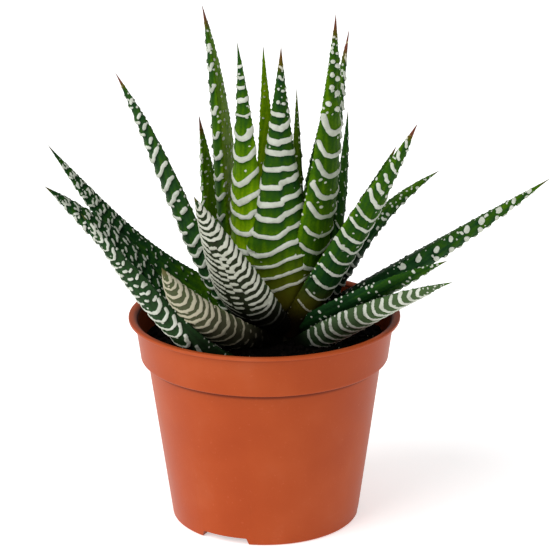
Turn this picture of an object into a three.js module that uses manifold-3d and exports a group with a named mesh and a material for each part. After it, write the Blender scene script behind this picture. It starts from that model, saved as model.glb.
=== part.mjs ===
// A potted haworthia: a rosette of stiff, banded leaves on a short stem, standing in potting
// soil in a thin-walled nursery pot. Millimetres, +Z up, origin at the centre of the pot's foot.
import * as THREE from 'three';
import { mergeVertices } from 'three/addons/utils/BufferGeometryUtils.js';
import Module from 'manifold-3d';

const wasm = await Module();
wasm.setup();

// ---------------------------------------------------------------- driving dimensions (mm)

const CLEARANCE = 0.3;        // gap between pieces that rest on or press against each other
const SOIL_GAP = 0.4;         // gap between the soil and the pot's wall
const WELD = 1e-4;            // corners closer than this are one corner
const LEAST = 1e-3;           // keeps a leaf's tip from closing to nothing

// Pot
const POT_HEIGHT = 70;
const LIP_RADIUS = 45;        // outermost edge of the lip
const LIP_HEIGHT = 1.2;
const LIP_WIDTH = 1.7;        // flat ring on top of the lip
const COLLAR_TOP_RADIUS = 42.9;
const COLLAR_FOOT_RADIUS = 41.4;
const COLLAR_FOOT_Z = 55.4;
const COLLAR_CHAMFER = 2.6;   // height of the collar's slanted lower edge
const BODY_TOP_RADIUS = 38.9;
const FOOT_RADIUS = 31.3;
const FOOT_ROUNDING = 0.5;
const POT_WALL = 1.1;
const POT_FLOOR = 1.2;
const POT_SIDES = 36;

// Drain notches in the pot's foot, each with a hole in its raised ceiling
const NOTCH_COUNT = 3;
const NOTCH_BEARING = 244;    // degrees from +X to the middle of the first notch
const NOTCH_HALF_ANGLE = 14;
const NOTCH_HEIGHT = 2.3;
const NOTCH_DEPTH = 9;        // from the pot's outside towards its middle
const NOTCH_FLARE = 1.2;      // how much wider each flank stands at the foot than at the top
const DRAIN_HOLE_RADIUS = 2.4;
const DRAIN_HOLE_SIDES = 12;

// Soil
const SOIL_LEVEL = 60.5;      // height of the soil where it meets the pot's wall
const SOIL_MOUND = 1.5;       // how much higher it stands at the plant
const SOIL_BUMP = 0.7;        // how far the soil rises and falls about its level
const SOIL_SIDES = 20;
const SOIL_RINGS = [0.3, 0.55, 0.8];
const SOIL_SEED = 3;

// Plant
const PLANT_X = 4.5;          // the rosette stands a little to one side of the pot's middle
const PLANT_Y = 0;
const STEM_FOOT_Z = 42;
const STEM_TOP_Z = 79;
const STEM_FOOT_RADIUS = 6.5;
const STEM_TOP_RADIUS = 3;
const STEM_BLUNTNESS = 0.6;   // share of the radius that is flat at each end
const STEM_FOOT_BEVEL = 4;    // height of the bevel at the foot
const STEM_TOP_BEVEL = 2;
const STEM_SIDES = 12;

// Leaves
const LEAF_START = 4;         // distance from the stem's axis to the start of a leaf's midline
const TIP_HANDLE = 0.45;      // share of a leaf's span over which it runs straight to its tip
const WIDEST_AT = 0.3;        // share of a leaf's length from its foot to its widest place
const FOOT_NARROWING = 0.2;   // how much narrower the foot is than the widest place
const DEPTH_TAPER = 1.3;      // above 1: the thickness holds out longer than the width
const OUTER_SHARE = 0.82;     // share of the thickness behind the margins, on the rounded outer face
const OUTER_ACROSS = [-1, -0.55, 0, 0.55, 1];
const INNER_ACROSS = [0];
const RIDGE_HEIGHT = 0.55;    // how far the white bands stand out
const RIDGE_FADE = 2.5;       // how soon, from the tip down, they reach that height
const BAND_DROOP = 0.22;      // share of a band's pitch by which its middle hangs towards the foot
const BAND_WANDER = 0.1;      // share of a band's pitch by which it zigzags
const FIRST_BAND = 0.07;
const LAST_BAND = 0.93;
const BAND_CROWDING = 0.92;   // below 1: the bands stand closer together towards the tip
const ENVELOPE_RINGS = 10;
const ENVELOPE_CROWDING = 1.8;  // above 1: its rings stand closer together in the bend at the foot
const ENVELOPE_SPARE = 0.35;    // allows for the flats between the points of a leaf's skin

// One row for each leaf, from the heart of the rosette outwards:
// bearing (degrees from +X), reach from the stem's axis to the tip, height of the tip, height of
// the foot, rise of the midline at the foot (degrees), length of the bend there, rise at the tip
// (degrees), sideways sway, width, thickness, turn about the midline (degrees), fullness of the
// taper (1 is straight), number of bands.
const LEAVES = [
  [110, 13, 158, 73, 70, 15, 84, 0, 10, 3.5, 0, 1.0, 12],
  [45, 9, 145, 73, 75, 15, 90, 0, 8, 3.5, 0, 1.0, 10],
  [278, 9, 162, 73, 45, 16, 93, -1.3, 21, 6, 0, 0.82, 18],
  [222, 17, 164, 73, 40, 17, 80, 0, 15, 5, 0, 1.1, 15],
  [323, 23, 173.5, 73, 58, 20, 87, 0, 17, 5, 0, 1.3, 16],
  [150, 28, 171, 71, 40, 24, 72, 0, 18, 6, 15, 1.5, 16],
  [25, 26, 163.5, 72, 55, 20, 78, 0, 12, 5, 0, 1.2, 14],
  [50, 26, 139, 68, 40, 20, 74, 0, 13, 5, 0, 1.2, 12],
  [138, 35, 132, 66, 20, 27, 76, 0, 13, 5, 0, 1.2, 14],
  [4, 23, 139, 68, 45, 18, 84, 0, 12, 5, 0, 1.2, 14],
  [325, 53, 142, 66, 58, 25, 57, 0, 16, 7, 0, 1.6, 16],
  [240, 52, 123, 68, 35, 22, 50, 0, 21, 6.5, 0, 1.2, 22],
  [195, 53, 155, 66, 28, 22, 58, 0, 16, 6, 0, 1.8, 18],
  [2, 53, 118, 63, 50, 26, 28, 0, 14, 6, 0, 1.5, 14],
  [125, 50, 92, 63, 12, 22, 45, 0, 13, 6, 0, 1.3, 11],
  [40, 53, 118, 66, 30, 22, 52, 0, 13, 6, 0, 1.3, 11],
  [112, 38, 110, 67, 30, 20, 65, 0, 13, 6, 0, 1.2, 9],
  [72, 40, 100, 65, 20, 20, 58, 0, 13, 6, 0, 1.2, 9],
  [94, 58, 97, 62, 12, 20, 42, 0, 14, 6, 0, 1.2, 10],
  [177, 75, 127, 67, 20, 34, 51, 4, 15, 5, -31, 1.1, 16],
  [191, 76, 118, 61, 13, 30, 38, -4, 15, 6.5, -28, 1.9, 15],
  [350, 88.5, 120, 66, 31, 28, 33, 0, 15, 7, -8, 1.4, 16],
  [233, 60, 101, 61, 25, 14, 50, -4, 15, 6.5, 21, 1.9, 16],
  [217, 76, 118, 57, -6, 27, 50, 4, 14, 6.5, 0, 1.9, 16],
  [322, 69, 94, 58, 34, 15, 20, 4, 13.5, 6.2, -18, 1.3, 14],
  [334, 60, 96, 64.5, 29, 16, 24, -3, 11, 4.2, -32, 1.8, 14],
];

// ---------------------------------------------------------------- finishes

const TERRACOTTA = { color: 0xbe5830, roughness: 0.45, metalness: 0 };
const POTTING_SOIL = { color: 0x1c1410, roughness: 1, metalness: 0 };
const STEM_TISSUE = { color: 0x5d6b33, roughness: 0.7, metalness: 0 };
const LEAF_GREEN = { color: 0x3f6f1f, roughness: 0.45, metalness: 0 };

// ---------------------------------------------------------------- helpers

const radians = THREE.MathUtils.degToRad;

// A repeatable draw between 0 and 1: a linear congruential generator on 32 bits.
const DRAW_FACTOR = 1664525;
const DRAW_STEP = 1013904223;
const DRAW_RANGE = 2 ** 32;

function seededDraw(seed) {
  let state = seed;
  return () => {
    state = (Math.imul(state, DRAW_FACTOR) + DRAW_STEP) >>> 0;
    return state / DRAW_RANGE;
  };
}

// A closed mesh of rings of points, capped at its start by a fan and at its end by a fan.
function ringsToSolid(rings, startPoint, endPoint) {
  const sides = rings[0].length;
  const points = rings.flat();
  const start = points.length;
  const end = start + 1;
  points.push(startPoint, endPoint);
  const faces = [];
  for (let side = 0; side < sides; side += 1) {
    const next = (side + 1) % sides;
    faces.push(start, next, side);
    for (let ring = 0; ring < rings.length - 1; ring += 1) {
      const low = ring * sides;
      const high = low + sides;
      faces.push(low + side, low + next, high + next);
      faces.push(low + side, high + next, high + side);
    }
    const last = (rings.length - 1) * sides;
    faces.push(last + side, last + next, end);
  }
  const vertProperties = new Float32Array(points.flatMap((point) => point.toArray()));
  return new wasm.Manifold(new wasm.Mesh({
    numProp: 3,
    vertProperties,
    triVerts: new Uint32Array(faces),
  }));
}

// A three.js geometry as a solid that can be joined and cut.
function geometryToSolid(geometry) {
  const bare = geometry.clone();
  bare.deleteAttribute('normal');
  bare.deleteAttribute('uv');
  const merged = mergeVertices(bare, WELD);
  return new wasm.Manifold(new wasm.Mesh({
    numProp: 3,
    vertProperties: new Float32Array(merged.attributes.position.array),
    triVerts: new Uint32Array(merged.index.array),
  }));
}

// A solid as a named mesh with its finish.
function solidToMesh(name, solid, finish) {
  const { vertProperties, triVerts } = solid.getMesh();
  const geometry = new THREE.BufferGeometry();
  geometry.setAttribute('position', new THREE.BufferAttribute(new Float32Array(vertProperties), 3));
  geometry.setIndex(new THREE.BufferAttribute(new Uint32Array(triVerts), 1));
  geometry.computeVertexNormals();
  const mesh = new THREE.Mesh(geometry, new THREE.MeshStandardMaterial(finish));
  mesh.name = name;
  return mesh;
}

// The biggest of the pieces that a cut leaves.
function largestPiece(solid) {
  const pieces = solid.decompose();
  return pieces.reduce((best, piece) => (piece.volume() > best.volume() ? piece : best));
}

// A solid of revolution about Z from [radius, height] pairs.
function revolve(profile, sides) {
  const points = profile.map(([radius, height]) => new THREE.Vector2(radius, height));
  const geometry = new THREE.LatheGeometry(points, sides);
  geometry.rotateX(Math.PI / 2);
  return geometryToSolid(geometry);
}

// ---------------------------------------------------------------- pot

const COLLAR_STEP_Z = COLLAR_FOOT_Z + COLLAR_CHAMFER;
const LIP_FOOT_Z = POT_HEIGHT - LIP_HEIGHT;

// Radius of the pot's inside at a height, above its floor.
function insideRadius(height) {
  if (height <= COLLAR_FOOT_Z) {
    const share = height / COLLAR_FOOT_Z;
    return THREE.MathUtils.lerp(FOOT_RADIUS, BODY_TOP_RADIUS, share) - POT_WALL;
  }
  const share = (height - COLLAR_STEP_Z) / (LIP_FOOT_Z - COLLAR_STEP_Z);
  return THREE.MathUtils.lerp(COLLAR_FOOT_RADIUS, COLLAR_TOP_RADIUS, Math.max(share, 0)) - POT_WALL;
}

function potProfile() {
  return [
    [0, 0],
    [FOOT_RADIUS - FOOT_ROUNDING, 0],
    [FOOT_RADIUS, FOOT_ROUNDING],
    [BODY_TOP_RADIUS, COLLAR_FOOT_Z],
    [COLLAR_FOOT_RADIUS - CLEARANCE, COLLAR_FOOT_Z],
    [COLLAR_FOOT_RADIUS, COLLAR_STEP_Z],
    [COLLAR_TOP_RADIUS, LIP_FOOT_Z],
    [LIP_RADIUS, LIP_FOOT_Z],
    [LIP_RADIUS, POT_HEIGHT],
    [LIP_RADIUS - LIP_WIDTH, POT_HEIGHT],
    [insideRadius(LIP_FOOT_Z), LIP_FOOT_Z],
    [insideRadius(COLLAR_STEP_Z), COLLAR_STEP_Z],
    [insideRadius(COLLAR_FOOT_Z), COLLAR_FOOT_Z],
    [insideRadius(POT_FLOOR), POT_FLOOR],
    [0, POT_FLOOR],
  ];
}

// A block that stands on the foot's plane across one notch, grown by a margin on every side.
function notchBlock(index, height, margin) {
  const middle = FOOT_RADIUS * Math.tan(radians(NOTCH_HALF_ANGLE)) + margin;
  const outline = new THREE.Shape([
    new THREE.Vector2(-middle - NOTCH_FLARE, -POT_FLOOR),
    new THREE.Vector2(middle + NOTCH_FLARE, -POT_FLOOR),
    new THREE.Vector2(middle, height),
    new THREE.Vector2(-middle, height),
  ]);
  const innerEnd = FOOT_RADIUS - NOTCH_DEPTH - margin;
  const geometry = new THREE.ExtrudeGeometry(outline, {
    depth: LIP_RADIUS - innerEnd,
    bevelEnabled: false,
  });
  // The outline stands upright and runs outwards along the notch's bearing.
  geometry.rotateX(Math.PI / 2);
  geometry.translate(0, LIP_RADIUS, 0);
  geometry.rotateZ(radians(NOTCH_BEARING + (360 / NOTCH_COUNT) * index - 90));
  return geometryToSolid(geometry);
}

function drainHole(index) {
  const bearing = radians(NOTCH_BEARING + (360 / NOTCH_COUNT) * index);
  const distance = FOOT_RADIUS - NOTCH_DEPTH / 2 - POT_WALL;
  const geometry = new THREE.CylinderGeometry(
    DRAIN_HOLE_RADIUS, DRAIN_HOLE_RADIUS, 4 * NOTCH_HEIGHT, DRAIN_HOLE_SIDES,
  );
  geometry.rotateX(Math.PI / 2);
  geometry.translate(distance * Math.cos(bearing), distance * Math.sin(bearing), 0);
  return geometryToSolid(geometry);
}

function makePot() {
  const outside = revolve([...potProfile().slice(0, 4), [0, COLLAR_FOOT_Z]], POT_SIDES);
  let pot = revolve(potProfile(), POT_SIDES);
  for (let index = 0; index < NOTCH_COUNT; index += 1) {
    const housing = notchBlock(index, NOTCH_HEIGHT + POT_FLOOR, POT_WALL).intersect(outside);
    pot = pot.add(housing).subtract(notchBlock(index, NOTCH_HEIGHT, 0)).subtract(drainHole(index));
  }
  return pot;
}

// ---------------------------------------------------------------- soil and stem

function makeSoil() {
  const draw = seededDraw(SOIL_SEED);
  const ring = (radius, heightAt) => Array.from({ length: SOIL_SIDES }, (_, side) => {
    const angle = (side / SOIL_SIDES) * 2 * Math.PI;
    return new THREE.Vector3(radius * Math.cos(angle), radius * Math.sin(angle), heightAt(side));
  });
  const floor = POT_FLOOR + CLEARANCE;
  const edge = insideRadius(SOIL_LEVEL) - SOIL_GAP;
  const rings = [
    ring(insideRadius(floor) - SOIL_GAP, () => floor),
    ring(insideRadius(COLLAR_FOOT_Z) - SOIL_GAP, () => COLLAR_FOOT_Z),
    ring(insideRadius(COLLAR_STEP_Z) - SOIL_GAP, () => COLLAR_STEP_Z + CLEARANCE),
    ring(edge, () => SOIL_LEVEL + SOIL_BUMP * (draw() - 0.5)),
  ];
  for (const share of [...SOIL_RINGS].reverse()) {
    const mound = SOIL_MOUND * (1 - share * share);
    rings.push(ring(edge * share, () => SOIL_LEVEL + mound + SOIL_BUMP * 2 * (draw() - 0.5)));
  }
  const bottom = new THREE.Vector3(0, 0, floor);
  const top = new THREE.Vector3(0, 0, SOIL_LEVEL + SOIL_MOUND);
  let soil = ringsToSolid(rings, bottom, top);
  for (let index = 0; index < NOTCH_COUNT; index += 1) {
    soil = soil.subtract(notchBlock(index, NOTCH_HEIGHT + POT_FLOOR + SOIL_GAP, POT_WALL + SOIL_GAP));
  }
  return soil;
}

function makeStem(margin) {
  const foot = STEM_FOOT_Z - margin;
  const top = STEM_TOP_Z + margin;
  const footRadius = STEM_FOOT_RADIUS + margin;
  const topRadius = STEM_TOP_RADIUS + margin;
  const profile = [
    [0, foot],
    [footRadius * STEM_BLUNTNESS, foot],
    [footRadius, foot + STEM_FOOT_BEVEL],
    [footRadius, SOIL_LEVEL],
    [topRadius, top - STEM_TOP_BEVEL],
    [topRadius * STEM_BLUNTNESS, top],
    [0, top],
  ];
  return revolve(profile, STEM_SIDES).translate([PLANT_X, PLANT_Y, 0]);
}

// ---------------------------------------------------------------- leaves

class Leaf {
  constructor(row, index) {
    const [bearing, reach, height, foot, rise, bend, aim, sway, width, thickness, turn, taper, bands] = row;
    this.name = `leaf_${String(index + 1).padStart(2, '0')}`;
    this.seed = index + 1;
    this.width = width;
    this.thickness = thickness;
    this.turn = radians(turn);
    this.taper = taper;
    this.bands = bands;
    const outward = new THREE.Vector3(Math.cos(radians(bearing)), Math.sin(radians(bearing)), 0);
    this.sideways = new THREE.Vector3(-outward.y, outward.x, 0);
    const place = (distance, level) => new THREE.Vector3(PLANT_X, PLANT_Y, level)
      .addScaledVector(outward, distance);
    const slope = (angle) => new THREE.Vector3(0, 0, Math.sin(radians(angle)))
      .addScaledVector(outward, Math.cos(radians(angle)));
    const start = place(LEAF_START, foot);
    const tip = place(reach, height);
    const handle = TIP_HANDLE * start.distanceTo(tip);
    this.midline = new THREE.CubicBezierCurve3(
      start,
      start.clone().addScaledVector(slope(rise), bend).addScaledVector(this.sideways, sway),
      tip.clone().addScaledVector(slope(aim), -handle).addScaledVector(this.sideways, sway),
      tip,
    );
  }

  // Half width and thickness at a share of the leaf's length.
  fullness(share) {
    if (share < WIDEST_AT) {
      const swell = Math.sin((Math.PI / 2) * (share / WIDEST_AT));
      return [1 - FOOT_NARROWING * (1 - swell), 1];
    }
    const out = (share - WIDEST_AT) / (1 - WIDEST_AT);
    return [1 - out ** this.taper, 1 - out ** (DEPTH_TAPER * this.taper)];
  }

  // A point of the leaf's skin: across runs from -1 to 1 between the margins, on the outer or the
  // inner face, and lift moves it out from the skin.
  skinPoint(share, across, outer, lift) {
    const [wide, thick] = this.fullness(share);
    const tangent = this.midline.getTangentAt(share);
    const side = this.sideways.clone().addScaledVector(tangent, -tangent.dot(this.sideways)).normalize();
    const inward = new THREE.Vector3().crossVectors(tangent, side);
    side.applyAxisAngle(tangent, this.turn);
    inward.applyAxisAngle(tangent, this.turn);
    const halfWidth = Math.max((this.width / 2) * wide, LEAST);
    const halfDepth = Math.max(this.thickness * thick * (outer ? OUTER_SHARE : 1 - OUTER_SHARE), LEAST);
    const bulge = Math.sqrt(Math.max(1 - across * across, 0)) * (outer ? -1 : 1);
    const normal = new THREE.Vector2(across / halfWidth, bulge / halfDepth).normalize();
    return this.midline.getPointAt(share)
      .addScaledVector(side, halfWidth * across + lift * normal.x)
      .addScaledVector(inward, halfDepth * bulge + lift * normal.y);
  }

  // The banded leaf: a ring on the crest of each band and one in each hollow between two bands.
  solid() {
    const draw = seededDraw(this.seed);
    const pitch = (LAST_BAND - FIRST_BAND) / (this.bands - 1);
    const bandShare = (band) => {
      const order = Math.max(band, 0) / (this.bands - 1);
      return FIRST_BAND + (LAST_BAND - FIRST_BAND) * order ** BAND_CROWDING;
    };
    const ringAt = (share, lift, wander) => {
      const slack = Math.min(1, share / pitch, (1 - share) / pitch);
      const onOuter = OUTER_ACROSS.map((across, place) => {
        const droop = -BAND_DROOP * pitch * (1 - Math.abs(across)) * slack;
        return this.skinPoint(share + droop + wander[place] * slack, across, true, lift);
      });
      const onInner = INNER_ACROSS.map((across) => this.skinPoint(share, across, false, 0));
      return [...onOuter, ...onInner];
    };
    const straight = OUTER_ACROSS.map(() => 0);
    const rings = [ringAt(0, 0, straight)];
    for (let band = 0; band < this.bands; band += 1) {
      const wander = OUTER_ACROSS.map(() => BAND_WANDER * pitch * (2 * draw() - 1));
      const share = bandShare(band);
      const fade = Math.min(1, RIDGE_FADE * (1 - share));
      rings.push(ringAt(share, RIDGE_HEIGHT * fade, wander));
      rings.push(ringAt(share + pitch / 2, 0, wander));
    }
    return ringsToSolid(rings, this.midline.getPointAt(0), this.midline.getPointAt(1));
  }

  // The smooth room that the leaf takes up, with its bands and a clearance round them.
  envelope() {
    const margin = RIDGE_HEIGHT + CLEARANCE + ENVELOPE_SPARE;
    const rings = Array.from({ length: ENVELOPE_RINGS }, (_, ring) => {
      const share = (ring / ENVELOPE_RINGS) ** ENVELOPE_CROWDING;
      return [
        ...OUTER_ACROSS.map((across) => this.skinPoint(share, across, true, margin)),
        ...INNER_ACROSS.map((across) => this.skinPoint(share, across, false, margin)),
      ];
    });
    const start = this.midline.getPointAt(0).addScaledVector(this.midline.getTangentAt(0), -margin);
    const end = this.midline.getPointAt(1).addScaledVector(this.midline.getTangentAt(1), margin);
    return ringsToSolid(rings, start, end);
  }
}

// ---------------------------------------------------------------- assembly

const plant = new THREE.Group();
plant.add(solidToMesh('pot', makePot(), TERRACOTTA));
plant.add(solidToMesh('stem', makeStem(0), STEM_TISSUE));

const stemRoom = makeStem(CLEARANCE);
let soil = makeSoil().subtract(stemRoom);

// Each leaf gives way to the stem and to the leaves nearer the heart, and the soil to them all.
const taken = [];
LEAVES.forEach((row, index) => {
  const leaf = new Leaf(row, index);
  let solid = leaf.solid().subtract(stemRoom);
  for (const room of taken) {
    solid = solid.subtract(room);
  }
  taken.push(leaf.envelope());
  plant.add(solidToMesh(leaf.name, largestPiece(solid), LEAF_GREEN));
});
for (const room of taken) {
  soil = soil.subtract(room);
}
plant.add(solidToMesh('soil', largestPiece(soil), POTTING_SOIL));

export default plant;
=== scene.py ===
"""The looks of a potted haworthia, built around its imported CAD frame. Metres, +Z up."""

import math

import bmesh
import bpy
import numpy as np
from mathutils import Matrix, Vector, noise
from mathutils.bvhtree import BVHTree


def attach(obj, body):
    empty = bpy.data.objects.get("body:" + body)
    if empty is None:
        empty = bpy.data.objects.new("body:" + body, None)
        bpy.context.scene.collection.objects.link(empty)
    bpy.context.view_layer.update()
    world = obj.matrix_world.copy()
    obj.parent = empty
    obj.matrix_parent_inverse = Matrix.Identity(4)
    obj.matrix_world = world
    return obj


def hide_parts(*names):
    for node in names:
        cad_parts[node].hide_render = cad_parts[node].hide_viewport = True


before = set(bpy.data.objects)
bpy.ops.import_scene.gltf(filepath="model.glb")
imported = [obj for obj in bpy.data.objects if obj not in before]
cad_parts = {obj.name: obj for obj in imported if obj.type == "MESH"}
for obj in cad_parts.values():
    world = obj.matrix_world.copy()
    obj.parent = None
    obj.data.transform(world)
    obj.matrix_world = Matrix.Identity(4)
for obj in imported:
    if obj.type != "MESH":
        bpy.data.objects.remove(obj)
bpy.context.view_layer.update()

MM = 0.001

# ---------- dimensions shared with the CAD (mm)

POT_HEIGHT = 70
LIP_RADIUS = 45
LIP_HEIGHT = 1.2
LIP_WIDTH = 1.7
COLLAR_TOP_RADIUS = 42.9
COLLAR_FOOT_RADIUS = 41.4
COLLAR_FOOT_Z = 55.4
COLLAR_CHAMFER = 2.6
BODY_TOP_RADIUS = 38.9
FOOT_RADIUS = 31.3
POT_WALL = 1.1
POT_FLOOR = 1.2
CLEARANCE = 0.3
SOIL_GAP = 0.4
NOTCH_BEARINGS = (244, 4, 124)
NOTCH_HALF_ANGLE = 14
NOTCH_HEIGHT = 2.3
NOTCH_DEPTH = 9
NOTCH_FLARE = 1.2
DRAIN_HOLE_RADIUS = 2.4
COLLAR_STEP_Z = COLLAR_FOOT_Z + COLLAR_CHAMFER
LIP_FOOT_Z = POT_HEIGHT - LIP_HEIGHT

SOIL_LEVEL = 60.5
SOIL_MOUND = 1.5

PLANT_X = 4.5
LEAF_START = 4
TIP_HANDLE = 0.45
WIDEST_AT = 0.3
FOOT_NARROWING = 0.2
OUTER_SHARE = 0.82
DEPTH_TAPER = 1.3

# The CAD's own rows, roughly from the heart outwards: bearing, reach, height of the tip, height of
# the foot, rise at the foot, bend there, rise at the tip, sway, width, thickness, turn and taper.
LEAVES = [
    (110, 13, 158, 73, 70, 15, 84, 0, 10, 3.5, 0, 1.0),
    (45, 9, 145, 73, 75, 15, 90, 0, 8, 3.5, 0, 1.0),
    (278, 9, 162, 73, 45, 16, 93, -1.3, 21, 6, 0, 0.82),
    (222, 17, 164, 73, 40, 17, 80, 0, 15, 5, 0, 1.1),
    (323, 23, 173.5, 73, 58, 20, 87, 0, 17, 5, 0, 1.3),
    (150, 28, 171, 71, 40, 24, 72, 0, 18, 6, 15, 1.5),
    (25, 26, 163.5, 72, 55, 20, 78, 0, 12, 5, 0, 1.2),
    (50, 26, 139, 68, 40, 20, 74, 0, 13, 5, 0, 1.2),
    (138, 35, 132, 66, 20, 27, 76, 0, 13, 5, 0, 1.2),
    (4, 23, 139, 68, 45, 18, 84, 0, 12, 5, 0, 1.2),
    (325, 53, 142, 66, 58, 25, 57, 0, 16, 7, 0, 1.6),
    (240, 52, 123, 68, 35, 22, 50, 0, 21, 6.5, 0, 1.2),
    (195, 53, 155, 66, 28, 22, 58, 0, 16, 6, 0, 1.8),
    (2, 53, 118, 63, 50, 26, 28, 0, 14, 6, 0, 1.5),
    (125, 50, 92, 63, 12, 22, 45, 0, 13, 6, 0, 1.3),
    (40, 53, 118, 66, 30, 22, 52, 0, 13, 6, 0, 1.3),
    (112, 38, 110, 67, 30, 20, 65, 0, 13, 6, 0, 1.2),
    (72, 40, 100, 65, 20, 20, 58, 0, 13, 6, 0, 1.2),
    (94, 58, 97, 62, 12, 20, 42, 0, 14, 6, 0, 1.2),
    (177, 75, 127, 67, 20, 34, 51, 4, 15, 5, -31, 1.1),
    (191, 76, 118, 61, 13, 30, 38, -4, 15, 6.5, -28, 1.9),
    (350, 88.5, 120, 66, 31, 28, 33, 0, 15, 7, -8, 1.4),
    (233, 60, 101, 61, 25, 14, 50, -4, 15, 6.5, 21, 1.9),
    (217, 76, 118, 57, -6, 27, 50, 4, 14, 6.5, 0, 1.9),
    (322, 69, 94, 58, 34, 15, 20, 4, 13.5, 6.2, -18, 1.3),
    (334, 60, 96, 64.5, 29, 16, 24, -3, 11, 4.2, -32, 1.8),
]

# ---------- how each leaf is marked

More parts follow.
